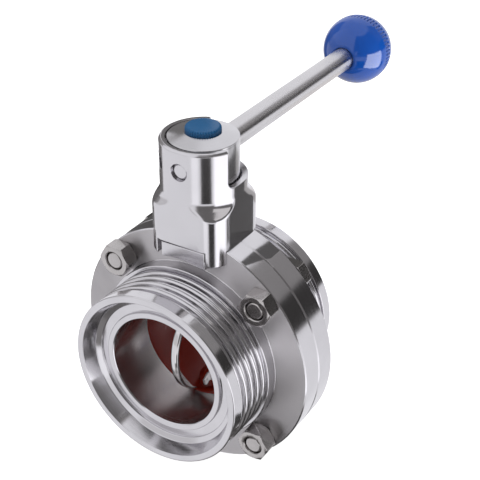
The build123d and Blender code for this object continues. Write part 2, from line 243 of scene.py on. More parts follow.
def makeCamera(values):
    azimuth, elevation = math.radians(values["azimuth"]), math.radians(values["elevation"])
    back = Vector((math.sin(azimuth) * math.cos(elevation), -math.cos(azimuth) * math.cos(elevation),
                   math.sin(elevation)))
    right = Vector((math.cos(azimuth), math.sin(azimuth), 0))
    up = back.cross(right)
    place = (back * values["distance"] + right * values["aimRight"] + up * values["aimUp"]) * mm
    roll = math.radians(values["roll"])
    cosine, sine = math.cos(roll), math.sin(roll)
    right, up = right * cosine + up * sine, up * cosine - right * sine
    data = bpy.data.cameras.new("photoCamera")
    size = values["imagePixels"]
    data.sensor_width = values["sensor"]
    data.lens = values["focalPixels"] / size * values["sensor"]
    data.shift_x = (size / 2 - values["centerX"]) / size
    data.shift_y = (values["centerY"] - size / 2) / size
    data.clip_start, data.clip_end = values["nearest"], values["farthest"]
    camera = bpy.data.objects.new("photoCamera", data)
    camera.matrix_world = Matrix((
        (right.x, up.x, back.x, place.x), (right.y, up.y, back.y, place.y),
        (right.z, up.z, back.z, place.z), (0, 0, 0, 1)))
    bpy.context.scene.collection.objects.link(camera)
    bpy.context.scene.camera = camera


makeCamera(cameraValues)
print("camera set")


# materials

def setSocket(tree, socket, value):
    if isinstance(value, bpy.types.NodeSocket):
        tree.links.new(value, socket)
    else:
        socket.default_value = value


def addNode(tree, kind, inputs=None, **settings):
    node = tree.nodes.new(kind)
    for key, value in settings.items():
        setattr(node, key, value)
    for key, value in (inputs or {}).items():
        setSocket(tree, node.inputs[key], value)
    return node


def math2(tree, operation, a, b=0.0):
    return addNode(tree, "ShaderNodeMath", {0: a, 1: b}, operation=operation).outputs[0]


def newGroup(name, inputs, outputs):
    tree = bpy.data.node_groups.new(name, "ShaderNodeTree")
    for label, kind, value in inputs:
        socket = tree.interface.new_socket(label, in_out="INPUT", socket_type=kind)
        if value is not None:
            socket.default_value = value
    for label, kind in outputs:
        tree.interface.new_socket(label, in_out="OUTPUT", socket_type=kind)
    return tree, tree.nodes.new("NodeGroupInput").outputs, tree.nodes.new("NodeGroupOutput").inputs


def turnedGrainGroup(axis):
    # fine rings left by the lathe, round the pipe (Y) or round the stem (Z)
    tree, given, result = newGroup("turnedGrain" + axis, [
        ("Rings per mm", "NodeSocketFloat", 3.0), ("Waviness", "NodeSocketFloat", 0.5),
    ], [("Lines", "NodeSocketFloat"), ("Patches", "NodeSocketFloat")])
    place = addNode(tree, "ShaderNodeTexCoord").outputs["Object"]
    across, side, along = addNode(tree, "ShaderNodeSeparateXYZ", {0: place}).outputs
    if axis == "Y":
        side, along = along, side
    radius = math2(tree, "SQRT", math2(tree, "ADD", math2(tree, "MULTIPLY", across, across),
                                       math2(tree, "MULTIPLY", side, side)))
    angle = math2(tree, "ARCTAN2", side, across)
    scale = math2(tree, "MULTIPLY", given["Rings per mm"], 1 / mm)
    vector = addNode(tree, "ShaderNodeCombineXYZ", {
        0: math2(tree, "MULTIPLY", radius, scale), 1: math2(tree, "MULTIPLY", along, scale),
        2: math2(tree, "MULTIPLY", angle, given["Waviness"])}).outputs[0]
    lines = addNode(tree, "ShaderNodeTexNoise", {"Vector": vector, "Scale": 1.0, "Detail": 3.0})
    patches = addNode(tree, "ShaderNodeTexNoise", {"Vector": place, "Scale": 70.0, "Detail": 4.0})
    tree.links.new(lines.outputs[0], result["Lines"])
    tree.links.new(patches.outputs[0], result["Patches"])
    return tree


def fineGrainGroup():
    # the fine even grain of blasted steel or moulded plastic, with slow changes over it
    tree, given, result = newGroup("fineGrain", [
        ("Grain scale", "NodeSocketFloat", 4000.0), ("Patch scale", "NodeSocketFloat", 60.0),
    ], [("Grain", "NodeSocketFloat"), ("Patches", "NodeSocketFloat")])
    place = addNode(tree, "ShaderNodeTexCoord").outputs["Object"]
    grain = addNode(tree, "ShaderNodeTexNoise", {
        "Vector": place, "Scale": given["Grain scale"], "Detail": 2.0})
    patches = addNode(tree, "ShaderNodeTexNoise", {
        "Vector": place, "Scale": given["Patch scale"], "Detail": 5.0})
    tree.links.new(grain.outputs[0], result["Grain"])
    tree.links.new(patches.outputs[0], result["Patches"])
    return tree


grainGroups = {axis: turnedGrainGroup(axis) for axis in "YZ"}
fineGrain = fineGrainGroup()


def spread(tree, value, low, high):
    # noise lies mostly between 0.3 and 0.7, and is drawn out to low and high
    return addNode(tree, "ShaderNodeMapRange", {
        "Value": value, "From Min": 0.3, "From Max": 0.7, "To Min": low, "To Max": high}).outputs[0]


def tinted(tree, factor, first, second):
    # a colour is a socket or three numbers; sockets 6 and 7 are the two colours that are mixed
    mix = addNode(tree, "ShaderNodeMix", {0: factor}, data_type="RGBA")
    for index, value in ((6, first), (7, second)):
        fixed = isinstance(value, tuple)
        setSocket(tree, mix.inputs[index], (*value, 1) if fixed else value)
    return mix.outputs[2]


def newMaterial(name):
    material = bpy.data.materials.new(name)
    material.use_nodes = True
    tree = material.node_tree
    return material, tree, tree.nodes["Principled BSDF"]


patchRoughness = (-0.02, 0.03)  # what the slow changes add to the roughness of every metal


def steelMaterial(name, look):
    material, tree, shader = newMaterial(name)
    if look["axis"]:
        group = addNode(tree, "ShaderNodeGroup", node_tree=grainGroups[look["axis"]])
        group.inputs["Rings per mm"].default_value = look["ringsPerMm"]
        group.inputs["Waviness"].default_value = look["waviness"]
        lines, patches = group.outputs["Lines"], group.outputs["Patches"]
    else:
        group = addNode(tree, "ShaderNodeGroup", node_tree=fineGrain)
        lines, patches = group.outputs["Grain"], group.outputs["Patches"]
    low, high = look["roughness"]
    rough = math2(tree, "ADD", spread(tree, lines, low, high), spread(tree, patches, *patchRoughness))
    dull = tuple(c * look["dulling"] for c in look["color"])
    color = tinted(tree, spread(tree, patches, 0, 1), look["color"], dull)
    tree.links.new(color, shader.inputs["Base Color"])
    tree.links.new(rough, shader.inputs["Roughness"])
    bump = addNode(tree, "ShaderNodeBump", {"Height": lines, "Distance": look["bump"] * mm})
    tree.links.new(bump.outputs[0], shader.inputs["Normal"])
    shader.inputs["Metallic"].default_value = 1.0
    if look["anisotropy"]:
        shader.inputs["Anisotropic"].default_value = look["anisotropy"]
        shader.inputs["Anisotropic Rotation"].default_value = 0.25
        tangent = addNode(tree, "ShaderNodeTangent", direction_type="RADIAL",
                          axis=look.get("tangent", look["axis"]))
        tree.links.new(tangent.outputs[0], shader.inputs["Tangent"])
    return material


# bump is in mm; the axis is that of the lathe's rings, and is empty where the grain is even
steelLooks = {
    "turnedSteel": {
        "color": (0.70, 0.69, 0.71), "dulling": 0.93, "roughness": (0.10, 0.15), "bump": 0.0008,
        "axis": "Y", "ringsPerMm": 3.0, "waviness": 0.6, "anisotropy": 0.6},
    "facedSteel": {
        "color": (0.69, 0.67, 0.68), "dulling": 0.93, "roughness": (0.40, 0.45), "bump": 0.0006,
        "axis": "Y", "ringsPerMm": 4.0, "waviness": 0.4, "anisotropy": 0.95},
    # steel of the bore: roughness, anisotropy and rings are the bored finish; its darker, warmer colour is
    # painted shade of the bore
    "boredSteelPaintedShade": {
        "color": (0.60, 0.57, 0.57), "dulling": 0.93, "roughness": (0.22, 0.26), "bump": 0.0002,
        "axis": "Y", "ringsPerMm": 4.0, "waviness": 0.8, "anisotropy": 0.3},
    "castSteel": {
        "color": (0.69, 0.68, 0.70), "dulling": 0.95, "roughness": (0.12, 0.16), "bump": 0.0008,
        "axis": "", "anisotropy": 0.0},
    "hubSteel": {
        "color": (0.66, 0.655, 0.67), "dulling": 0.93, "roughness": (0.16, 0.26), "bump": 0.0015,
        "axis": "Z", "ringsPerMm": 5.0, "waviness": 0.5, "anisotropy": 0.5},
    "rodSteel": {
        "color": (0.70, 0.69, 0.70), "dulling": 0.95, "roughness": (0.22, 0.28), "bump": 0.0008,
        "axis": "", "tangent": "Y", "anisotropy": 0.7},
    "mirrorSteel": {
        "color": (0.72, 0.71, 0.71), "dulling": 0.95, "roughness": (0.04, 0.08), "bump": 0.0003,
        "axis": "", "anisotropy": 0.0},
    "fastenerSteel": {
        "color": (0.55, 0.53, 0.52), "dulling": 0.85, "roughness": (0.14, 0.24), "bump": 0.002,
        "axis": "", "anisotropy": 0.0},
    "insertBrass": {
        "color": (0.62, 0.42, 0.16), "dulling": 0.85, "roughness": (0.2, 0.3), "bump": 0.001,
        "axis": "Y", "ringsPerMm": 4.0, "waviness": 0.5, "anisotropy": 0.0},
}
steel = {name: steelMaterial(name, look) for name, look in steelLooks.items()}


def mouldedMaterial(name, look):
    material, tree, shader = newMaterial(name)
    group = addNode(tree, "ShaderNodeGroup", node_tree=fineGrain)
    group.inputs["Grain scale"].default_value = look["grainScale"]
    low, high = look["roughness"]
    patches = group.outputs["Patches"]
    tree.links.new(spread(tree, patches, low, high), shader.inputs["Roughness"])
    color = tinted(tree, spread(tree, patches, 0, 1), look["color"], look["second"])
    tree.links.new(color, shader.inputs["Base Color"])
    bump = addNode(tree, "ShaderNodeBump", {
        "Height": group.outputs["Grain"], "Distance": look["bump"] * mm})
    tree.links.new(bump.outputs[0], shader.inputs["Normal"])
    shader.inputs["IOR"].default_value = look["ior"]
    return material


mouldedLooks = {
    "ballBlue": {"color": (0.004, 0.062, 0.33), "second": (0.005, 0.069, 0.36), "roughness": (0.05, 0.09),
                 "bump": 0.0006, "grainScale": 900.0, "ior": 1.6},
    "buttonBlue": {"color": (0.005, 0.082, 0.21), "second": (0.007, 0.092, 0.23), "roughness": (0.32, 0.4),
                   "bump": 0.004, "grainScale": 3000.0, "ior": 1.42},
    "silicone": {"color": (0.28, 0.018, 0.007), "second": (0.31, 0.021, 0.008), "roughness": (0.22, 0.3),
                 "bump": 0.001, "grainScale": 2500.0, "ior": 1.42},
    "bearingWhite": {"color": (0.78, 0.78, 0.76), "second": (0.72, 0.72, 0.70), "roughness": (0.4, 0.5),
                     "bump": 0.002, "grainScale": 2500.0, "ior": 1.38},
    "sealBlack": {"color": (0.012, 0.012, 0.012), "second": (0.016, 0.016, 0.016), "roughness": (0.4, 0.5),
                  "bump": 0.002, "grainScale": 2500.0, "ior": 1.5},
}
moulded = {name: mouldedMaterial(name, look) for name, look in mouldedLooks.items()}
print("materials made")


# body halves: flange, round thread, coned recess and bore; lengths in mm here and below

bodyValues = {
    "bore": 25.0, "end": 39.0, "flangeRadius": 54.895, "flangeThickness": 10.5, "chamfer": 0.5,
    "collarRadius": 40.5, "collarEnd": 16.0, "threadRadius": 39.0, "pitch": 25.4 / 6, "rimStart": 33.4,
    "rootDepth": 1.9, "windingStart": 1.9, "knuckle": 0.238, "flankAngle": 15,
    "mouth": 36.0, "cone": 33.8, "coneDepth": 5.9, "gasket": 31.6, "gasketEdge": 7.1, "gasketDepth": 7.8,
    "lip": 27.8, "lipDepth": 6.5, "pocket": 30.05, "pocketDepth": 8.55,
    "bossLeft": -9.3, "bossRight": 11.15, "bossTop": 52.3, "bossTilt": 0.3, "bossFace": 17.3,
    "bossFoot": 46.4, "bossSunk": 0.5, "bossEdge": 0.35, "bossSteps": 13, "threadRows": 120, "steps": 320,
    "boredRadius": 25.6, "boredEnd": 32.0, "castLow": 45.0, "castReach": 54.5, "nearFace": 0.01,
}


def threadRadiusAt(values, height, angle):
    # knuckle thread: round crest and root joined by short steep flanks, phase from the winding
    pitch, slant = values["pitch"], math.radians(values["flankAngle"])
    bend = values["knuckle"] * pitch
    start = values["flangeThickness"] + values["windingStart"]
    turn = (height - start) / pitch - angle / (2 * np.pi)
    away = np.abs(turn - np.round(turn)) * pitch
    side, rise = bend * math.cos(slant), bend * math.sin(slant)
    crest, root = values["threadRadius"] - bend, values["threadRadius"] - pitch / 2 + bend
    high = crest + np.sqrt(np.maximum(bend ** 2 - np.minimum(away, side) ** 2, 0))
    low = root - np.sqrt(np.maximum(bend ** 2 - np.minimum(pitch / 2 - away, side) ** 2, 0))
    share = np.clip((away - side) / (pitch / 2 - 2 * side), 0, 1)
    flank = (crest + rise) * (1 - share) + (root - rise) * share
    return np.where(away < side, high, np.where(away > pitch / 2 - side, low, flank))


def bodyHalf(name, values, front):
    end, edge, bore = values["end"], values["chamfer"], values["bore"]
    face, collarEnd, rimStart = values["flangeThickness"], values["collarEnd"], values["rimStart"]
    radius, outer = values["flangeRadius"], values["threadRadius"]
    root = outer - values["rootDepth"]
    lipTop, gasketSeat = end - values["lipDepth"], end - values["gasketDepth"]
    beforeThread = [
        (values["pocket"], 0.0, 0), (radius - edge, 0.0, 0.1), (radius, edge, 0.1),
        (radius, face - edge, 0.1), (radius - edge, face, 0.1), (values["collarRadius"], face, 0.4),
        (values["collarRadius"], collarEnd, 0.5), (root, collarEnd, 0.0),
    ]
    afterThread = [
        (root, rimStart, 0.0), (outer, rimStart, 0.5), (outer, end, 0.6),
        (values["mouth"], end, 0.3), (values["cone"], end - values["coneDepth"], 0.5),
        (values["gasket"], end - values["gasketEdge"], 0.4), (values["gasket"], gasketSeat, 0.15),
        (values["lip"], gasketSeat, 0.15), (values["lip"], lipTop, 0.3),
        (bore + 0.4, lipTop, 0.15), (bore, lipTop - 0.5, 0.3),
        (bore, values["pocketDepth"], 0.15), (values["pocket"], values["pocketDepth"], 0.15),
    ]
    outline = roundedOutline(beforeThread + afterThread)
    split = max(i for i, (r, h) in enumerate(outline) if abs(h - collarEnd) < 1e-6) + 1
    first, second = np.array(outline[:split]), np.array(outline[split:])
    angles = np.linspace(0, 2 * np.pi, values["steps"], endpoint=False)
    heights = np.linspace(collarEnd, rimStart, values["threadRows"])
    grid = np.meshgrid(heights, angles, indexing="ij")
    wound = threadRadiusAt(values, *grid)
    allRound = np.ones((1, len(angles)))
    radii = np.concatenate([first[:-1, :1] * allRound, wound, second[1:, :1] * allRound])
    tall = np.concatenate([first[:-1, 1:] * allRound, grid[0], second[1:, 1:] * allRound])
    vertices, faces = ringGrid(radii, -tall, angles, "Y")
    turned = weld(newPiece(name + "Turned", vertices, faces))
    half = joinPieces([turned, bossBlock(name + "Boss", values)], name)
    if not front:
        half.data.transform(Matrix.Rotation(math.pi, 4, "Z"))
    node = "front_body_half" if front else "rear_body_half"
    finishPiece(half, "valve_body", node, steel["turnedSteel"])
    faced, bored, cast = 1, 2, 3
    for finish in ("facedSteel", "boredSteelPaintedShade", "castSteel"):
        half.data.materials.append(steel[finish])
    for polygon in half.data.polygons:
        x, y, z = polygon.center / mm
        radius, above = math.hypot(x, z), abs(y) - face
        if z > values["castLow"] and radius < values["castReach"] and above > values["nearFace"]:
            polygon.material_index = cast
        # polygons inside the bore take the steel whose darker colour is painted shade
        elif radius < values["boredRadius"] and abs(y) < values["boredEnd"]:
            polygon.material_index = bored
        elif abs(polygon.normal.y) > 0.9 and abs(above) < 2 * values["nearFace"]:
            polygon.material_index = faced


def bossBlock(name, values):
    # the block on the flange that fills the notch between the bracket's legs, arched below
    left, right, top, tilt = values["bossLeft"], values["bossRight"], values["bossTop"], values["bossTilt"]
    foot, near, far = values["bossFoot"], values["flangeThickness"] - values["bossSunk"], values["bossFace"]
    outline = [(x, math.sqrt(foot ** 2 - x ** 2)) for x in np.linspace(left, right, values["bossSteps"])]
    outline += [(right, top + tilt), (left, top - tilt)]
    count = len(outline)
    vertices = [(x * mm, -y * mm, z * mm) for y in (near, far) for x, z in outline]
    faces = [tuple(range(count, 2 * count)), tuple(range(count - 1, -1, -1))]
    faces += [(i, (i + 1) % count, count + (i + 1) % count, count + i) for i in range(count)]
    block = newPiece(name, vertices, faces)
    work = bmesh.new()
    work.from_mesh(block.data)
    outer = (values["nearFace"] / 10 - far) * mm
    front = [e for e in work.edges if all(v.co.y < outer for v in e.verts)]
    bmesh.ops.bevel(work, geom=front, offset=values["bossEdge"] * mm, segments=3, affect="EDGES", profile=0.5)
    bmesh.ops.recalc_face_normals(work, faces=work.faces)
    work.to_mesh(block.data)
    work.free()
    return block


bodyHalf("bodyFront", bodyValues, True)
bodyHalf("bodyRear", bodyValues, False)
print("body halves made")


# silicone seat, disc

seatValues = {"bore": 25.0, "outer": 30.0, "width": 17.0, "bevel": 0.6, "edge": 0.2, "steps": 200}


def makeSeat(values):
    half, outer, bore = values["width"] / 2, values["outer"], values["bore"]
    points = [
        (outer, -half, values["edge"]), (outer, half, values["edge"]),
        (bore, half, values["bevel"]), (bore, -half, values["bevel"]),
    ]
    seat = turnedPiece("siliconeSeat", points, "Y", values["steps"])
    finishPiece(seat, "valve_body", "seat_ring", moulded["silicone"])


discValues = {
    "radius": 24.7, "rim": 1.9, "crown": 3.5, "bossRadius": 7.2, "upperBoss": 12.0, "lowerBoss": 4.8,
    "taper": 5.5, "edge": 1.3, "bossEdge": 0.2, "endEdge": 0.4, "bossRoot": 1.6,
    "trunnion": 5.0, "trunnionEnd": -41.7, "trunnionEdge": 0.5, "reach": 25.5, "deepest": -42.5, "step": 0.35,
}


def discDistance(values):
    radius = values["radius"]

    def distance(x, y, z):
        around = np.sqrt(y * y + z * z)
        slope = (values["crown"] - values["rim"]) / radius
        plate = (np.abs(x) - values["crown"] + slope * around) / math.hypot(1, slope)
        ball = np.sqrt(x * x + around * around) - radius
        plate = both(plate, ball, values["edge"])
        stem = np.sqrt(x * x + y * y)
        lean = (values["bossRadius"] - values["crown"]) / values["taper"]
        for sign, length in ((1, values["upperBoss"]), (-1, values["lowerBoss"])):
            top = sign * z - (radius - length)
            cone = (stem - values["bossRadius"] - lean * top) / math.hypot(1, lean)
            boss = np.maximum(stem - values["bossRadius"], cone)
            boss = both(boss, -top - values["taper"], values["bossEdge"])
            plate = either(plate, both(boss, ball, values["endEdge"]), values["bossRoot"])
        pin = both(stem - values["trunnion"], values["trunnionEnd"] - z, values["trunnionEdge"])
        return np.minimum(plate, np.maximum(pin, z + radius - 1))
    return distance


def makeDisc(values):
    side, reach = values["bossRadius"] + 1, values["reach"]
    disc = castPiece("valveDisc", discDistance(values), (-side, -reach, values["deepest"]),
                     (side, reach, reach), values["step"])
    finishPiece(disc, "rotor", "disc", steel["mirrorSteel"], weighted=False)


makeSeat(seatValues)
makeDisc(discValues)
print("seat and disc made")


# handle bracket: round shell over a square block with legs either side of the flanges

bracketValues = {
    "shell": 17.5, "wall": 2.6, "top": 94.3, "chamfer": 0.9, "shoulder": 71.7, "half": 17.6, "corner": 9.5,
    "bottom": 46.0, "floor": 65.0, "saddle": 54.95, "saddleHalf": 10.55, "notchHalf": 11.3, "notchTop": 52.75,
    "stemHole": 6.1, "windowStart": -23.5, "windowEnd": 113.5, "windowBottom": 78.0, "windowCorner": 3.0,
    "pinHeight": 85.3, "pinHole": 3.6, "holes": (180.0, 225.0, 270.0), "holeStart": 5,
    "slope": 0.78, "castEdge": 0.7, "coneEdge": 1.2, "cutEdge": 0.3, "topEdge": 0.25, "holeEdge": 0.2,
    "margin": 0.8, "step": 0.32,
}


def bracketDistance(values):
    shell, half, corner, top = values["shell"], values["half"], values["corner"], values["top"]
    castEdge, cutEdge, holeEdge = values["castEdge"], values["cutEdge"], values["holeEdge"]
    first, last = math.radians(values["windowStart"]), math.radians(values["windowEnd"])

    def distance(x, y, z):
        radius = np.sqrt(x * x + y * y)
        dx, dy = np.abs(x) - (half - corner), np.abs(y) - (half - corner)
        outside = np.sqrt(np.maximum(dx, 0) ** 2 + np.maximum(dy, 0) ** 2)
        square = outside + np.minimum(np.maximum(dx, dy), 0) - corner
        slope = values["slope"]
        cone = (radius - shell + slope * (z - values["shoulder"])) / math.hypot(1, slope)
        shape = both(square, either(radius - shell, cone, values["coneEdge"]), castEdge)
        shape = both(shape, z - top, values["topEdge"])
        shape = both(shape, (radius - shell + z - top + values["chamfer"]) / math.sqrt(2), holeEdge)
        shape = both(shape, values["bottom"] - z, castEdge)
        saddle = np.maximum(np.sqrt(x * x + z * z) - values["saddle"], np.abs(y) - values["saddleHalf"])
        shape = without(shape, saddle, cutEdge)
        notch = np.maximum(np.abs(x) - values["notchHalf"], z - values["notchTop"])
        shape = without(shape, notch, cutEdge)
        bore = np.maximum(radius - (shell - values["wall"]), values["floor"] - z)
        shape = without(shape, bore, values["topEdge"])
        shape = without(shape, radius - values["stemHole"], holeEdge)
        sides = np.maximum(x * math.sin(first) - y * math.cos(first),
                           y * math.cos(last) - x * math.sin(last))
        window = both(sides, values["windowBottom"] - z, values["windowCorner"])
        shape = without(shape, window, cutEdge)
        for angle in values["holes"]:
            c, s = math.cos(math.radians(angle)), math.sin(math.radians(angle))
            hole = np.sqrt((x * s - y * c) ** 2 + (z - values["pinHeight"]) ** 2) - values["pinHole"]
            hole = np.maximum(hole, values["holeStart"] - (x * c + y * s))
            shape = without(shape, hole, holeEdge)
        return shape
    return distance


def makeBracket(values):
    margin = values["margin"]
    reach = values["half"] + margin
    low, high = (-reach, -reach, values["bottom"] - margin), (reach, reach, values["top"] + margin)
    bracket = castPiece("bracketCasting", bracketDistance(values), low, high, values["step"])
    finishPiece(bracket, "valve_body", "handle_bracket", steel["castSteel"], weighted=False)


makeBracket(bracketValues)
print("bracket made")


# hub cap and blue button

capValues = {
    "radius": 14.3, "bottom": 93.4, "edge": 94.3, "top": 96.2, "flat": 7.7, "bore": 5.05,
    "buttonRadius": 7.2, "buttonHeight": 2.3, "buttonLift": 0.02, "stub": 5.0, "stubDepth": 3.0,
    "ribs": 40, "ribDepth": 0.35, "ribReach": 1.6, "ribFade": 1.2, "ribSink": 0.12, "ribTop": 0.8,
    "steps": 200,
}


def makeCap(values):
    points = [
        (values["bore"], values["bottom"], 0.1), (values["radius"], values["bottom"], 0.1),
        (values["radius"], values["edge"], 0.35), (values["flat"], values["top"], 0.6),
        (values["bore"], values["top"], 0.1),
    ]
    cap = turnedPiece("hubCapTurned", points, "Z", values["steps"])
    finishPiece(cap, "rotor", "hub_cap", steel["hubSteel"])


def makeButton(values):
    radius, stub = values["buttonRadius"], values["stub"]
    top, bottom = values["top"] + values["buttonHeight"], values["top"] - values["stubDepth"]
    under = values["top"] + values["buttonLift"]
    outline = np.array(roundedOutline([
        (axisRadius, top, 0), (axisRadius, bottom, 0), (stub, bottom, 0.2),
        (stub, under, 0), (radius, under, 0.1), (radius, top, 1.1),
    ], 6))
    angles = np.linspace(0, 2 * np.pi, values["ribs"] * 8, endpoint=False)
    edge = np.clip((outline[:, 0] - radius + values["ribReach"]) / values["ribFade"], 0, 1)[:, None]
    wave = 0.5 + 0.5 * np.cos(angles * values["ribs"])[None, :]
    radii = outline[:, :1] - values["ribDepth"] * edge * wave
    sink = values["ribSink"] * edge * wave * (outline[:, 1:] > top - values["ribTop"])
    vertices, faces = ringGrid(radii, outline[:, 1:] - sink, angles, "Z")
    button = weld(newPiece("buttonCap", vertices, faces), axisGap)
    finishPiece(button, "rotor", "cap_button", moulded["buttonBlue"])


makeCap(capValues)
makeButton(capValues)
print("cap and button made")


# ball knob of the pull rod

ballValues = {
    "center": (0, 130.6, 85.3), "radius": 15.992, "flat": 14.7, "counterbore": 2.4, "hole": 5.25, "ribs": 58,
    "ribStart": -1.4, "ribEnd": 3.0, "ribDepth": 0.5, "ribHalfWidth": 0.55, "ribFade": 0.3,
    "seam": 0.06, "seamBehind": 0.4, "seamWidth": 0.12, "rows": 150, "stepsPerRib": 12,
}


def makeBall(values):
    radius, flat = values["radius"], values["flat"]
    start = math.acos(flat / radius)
    tilt = np.linspace(start, math.pi, values["rows"])
    height = -radius * np.cos(tilt)
    ring = radius * np.sin(tilt)
    ribs, bandStart, bandEnd, fade = values["ribs"], values["ribStart"], values["ribEnd"], values["ribFade"]
    angles = np.linspace(0, 2 * np.pi, ribs * values["stepsPerRib"], endpoint=False)
    # grooves run along the rod's direction in a band just behind the middle, with a fine seam after it
    phase = np.abs((angles * ribs / (2 * np.pi)) % 1 - 0.5) * 2 * math.pi * radius / ribs
    groove = np.sqrt(np.clip(1 - (phase / values["ribHalfWidth"]) ** 2, 0, 1))
    inBand = np.clip((height - bandStart) / fade, 0, 1) * np.clip((bandEnd - height) / fade, 0, 1)
    radii = ring[:, None] - values["ribDepth"] * inBand[:, None] * groove[None, :]
    seam = values["seam"] * np.exp(-((height - bandEnd - values["seamBehind"]) / values["seamWidth"]) ** 2)
    radii = radii + seam[:, None]
    hole, floor, rim = values["hole"], -flat + values["counterbore"], float(ring[0])
    # the last two points only lead on to the ball, and are left out again
    mouth = np.array(roundedOutline([
        (axisRadius, floor, 0), (hole, floor, 0), (hole, -flat, 0.35),
        (rim, -flat, 0), (rim + 1, -flat + 3, 0),
    ])[:-2])
    radii = np.concatenate([mouth[:, :1] * np.ones((1, len(angles))), radii])
    tall = np.concatenate([mouth[:, 1], height])[:, None]
    vertices, faces = ringGrid(radii, tall, angles, "Y", values["center"], closed=False)
    ball = weld(newPiece("ballGrip", vertices, faces), axisGap)
    finishPiece(ball, "pull_rod", "ball_knob", moulded["ballBlue"])
    return ball


ballGrip = makeBall(ballValues)
print("ball made")


# lock spring between the snap ring on the rod and the guide bush in the hub

springValues = {
    "radius": 6.075, "wire": 1.1, "start": -4.25, "end": 8.25, "height": 85.3,
    "turns": 5, "stepsPerTurn": 36, "wireSteps": 12,
}


def makeSpring(values):
    # its front end is at the rod and its rear end at the bush; the coil is built once, in place
    start, end, thick, sides = values["start"], values["end"], values["wire"] / 2, values["wireSteps"]
    count = values["turns"] * values["stepsPerTurn"] + 1
    turn = np.linspace(0, 2 * np.pi * values["turns"], count)
    outward = np.stack([np.cos(turn), 0 * turn, -np.sin(turn)], 1)
    middle = values["radius"] * outward + np.outer(np.linspace(start, end, count), (0, 1, 0))
    forward = np.gradient(middle, axis=0)
    side = np.cross(forward / np.linalg.norm(forward, axis=1)[:, None], outward)
    around = np.linspace(0, 2 * np.pi, sides, endpoint=False)[None, :, None]
    rings = middle[:, None] + thick * (outward[:, None] * np.cos(around) + side[:, None] * np.sin(around))
    vertices = (rings.reshape(-1, 3) + np.array((0, 0, values["height"]))) * mm
    faces = [tuple(range(sides)), tuple(range(count * sides - 1, (count - 1) * sides - 1, -1))]
    for i in range(count - 1):
        for j in range(sides):
            k = (j + 1) % sides
            faces.append((i * sides + j, (i + 1) * sides + j, (i + 1) * sides + k, i * sides + k))
    spring = weld(newPiece("lockSpring", vertices, faces))
    for face in spring.data.polygons:
        face.use_smooth = len(face.vertices) == 4
    spring.data.materials.append(steel["fastenerSteel"])
    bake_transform(spring)
    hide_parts("lock_spring")


makeSpring(springValues)
print("spring made")


# nuts and bolts

boltValues = {
    "circle": 48.3, "flats": 13.0, "nutHeight": 7.0, "headHeight": 5.3, "flange": 10.5, "bolt": 4.0,
    "holeGap": 0.05, "countersink": 0.55, "faceEdge": 0.15, "headEdge": 0.4, "cornerEdge": 0.04,
    "cornerDrop": 0.1, "tipDrop": 0.4, "point": 0.7, "pointEdge": 0.25, "pointDrop": 0.06,
    "tipTurns": 3, "tipPitch": 1.25, "crestGap": 0.05, "grooveDepth": 0.5, "grooveRise": 0.4,
    "grooveBehind": 0.6, "shankSteps": 64, "angles": (45, 135, 225, 315),
}


def hexRings(values):
    # angles crowd at the six corners so that each has a narrow blunt edge
    apothem = values["flats"] / 2
    offsets = np.array([-29.2, -26, -18, -9, 0, 9, 18, 26, 29.2, 30.0])  # degrees from the middle of a flat
    blunt = 29.4  # beyond this angle a corner reaches no further
    angles = np.radians(np.concatenate([60 * k + 30 + offsets for k in range(6)]) + 60)
    local = np.tile(np.radians(offsets), 6)
    reach = apothem / np.cos(local)
    reach = np.minimum(reach, apothem / math.cos(math.radians(blunt)))
    fall = np.maximum(reach - apothem, 0) * math.tan(math.radians(30))
    return angles, apothem, reach, fall


def stackRows(rows, reach):
    # each row of an outline, written as (radius, height), runs once round the hexagon
    ones = np.ones_like(reach)
    return np.array([r * ones for r, h in rows]), np.array([h * ones for r, h in rows])


def makeNut(values):
    height = values["nutHeight"]
    angles, apothem, reach, fall = hexRings(values)
    hole, sink = values["bolt"] + values["holeGap"], values["countersink"]
    face, corner, drop = apothem - values["faceEdge"], reach - values["cornerEdge"], values["cornerDrop"]
    rows = [
        (hole, sink), (hole + sink, 0), (face, 0), (corner, fall), (reach, fall + drop),
        (reach, height - fall - drop), (corner, height - fall), (face, height), (hole + sink, height),
        (hole, height - sink),
    ]
    return angles, *stackRows(rows, reach)


def makeHead(values):
    height, drop = values["headHeight"], values["cornerDrop"]
    angles, apothem, reach, fall = hexRings(values)
    corner = reach - values["cornerEdge"]
    rows = [
        (axisRadius, 0), (apothem - values["faceEdge"], 0), (corner, 0.05), (reach, 0.15),
        (reach, height - fall - drop), (corner, height - fall),
        (apothem - values["headEdge"], height), (axisRadius, height),
    ]
    return angles, *stackRows(rows, reach)


def makeShank(values):
    # plain shank with a few thread turns at the tip, where the nut shows them
    radius, point, start = values["bolt"], values["point"], -values["flange"]
    tip = values["flange"] + values["nutHeight"] - values["tipDrop"]
    crest = radius - values["crestGap"]
    turns = []
    for k in reversed(range(values["tipTurns"])):
        base = tip - point - values["tipPitch"] * k - values["grooveBehind"]
        turns += [(crest, base - values["grooveRise"]), (radius - values["grooveDepth"], base)]
    outline = [(axisRadius, start), (radius, start)] + turns + [
        (crest, tip - point), (radius - point, tip - values["pointDrop"]),
        (radius - point - values["pointEdge"], tip), (axisRadius, tip)]
    return np.array(outline)


def placeFastener(vertices, start, angle, values):
    # local height grows towards the front port
    c, s = math.cos(math.radians(angle)), math.sin(math.radians(angle))
    vertices = np.array(vertices)
    vertices[:, 1] = -(vertices[:, 1] + start * mm)
    vertices[:, 0] += values["circle"] * c * mm
    vertices[:, 2] += values["circle"] * s * mm
    return vertices


